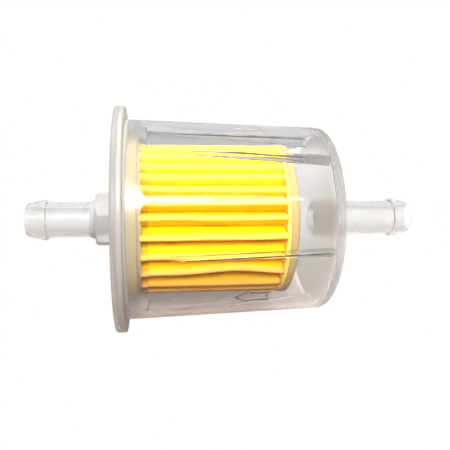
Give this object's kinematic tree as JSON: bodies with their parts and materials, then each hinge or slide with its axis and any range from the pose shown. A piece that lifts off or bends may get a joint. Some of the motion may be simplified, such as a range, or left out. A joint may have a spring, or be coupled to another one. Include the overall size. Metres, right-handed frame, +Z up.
{
  "type": "in-line fuel filter",
  "caption": "Clear in-line fuel filter with a pleated paper element, a hexagon collar and a barbed hose nipple at each end.",
  "frame": {"origin": "halfway along the filter's axis, at the centre of its bounding box", "axes": "+X along the axis from the outlet nipple to the inlet nipple, +Z up, -Y towards the front"},
  "size_m": [0.093, 0.053, 0.053],
  "materials": {
    "bowl_plastic": "clear, polished",
    "lid_plastic": "clear, polished",
    "weld_plastic": "cloudy melt",
    "fitting_plastic": "milky, satin",
    "filter_paper": "matt",
    "glue": "satin",
    "closed_disc": "satin",
    "open_disc": "satin",
    "core_plastic": "satin",
    "seal_rubber": "matt"
  },
  "bodies": {
    "root": {"bowl": "bowl_plastic", "lid": "lid_plastic", "weld_ring": "weld_plastic", "outlet_fitting": "fitting_plastic", "pleated_paper": "filter_paper", "paper_seam": "glue", "core_tube": "core_plastic", "closed_end_disc": "closed_disc", "closed_end_glue": "glue", "open_end_disc": "open_disc", "open_end_glue": "glue", "seal_ring": "seal_rubber"}
  },
  "joints": []
}
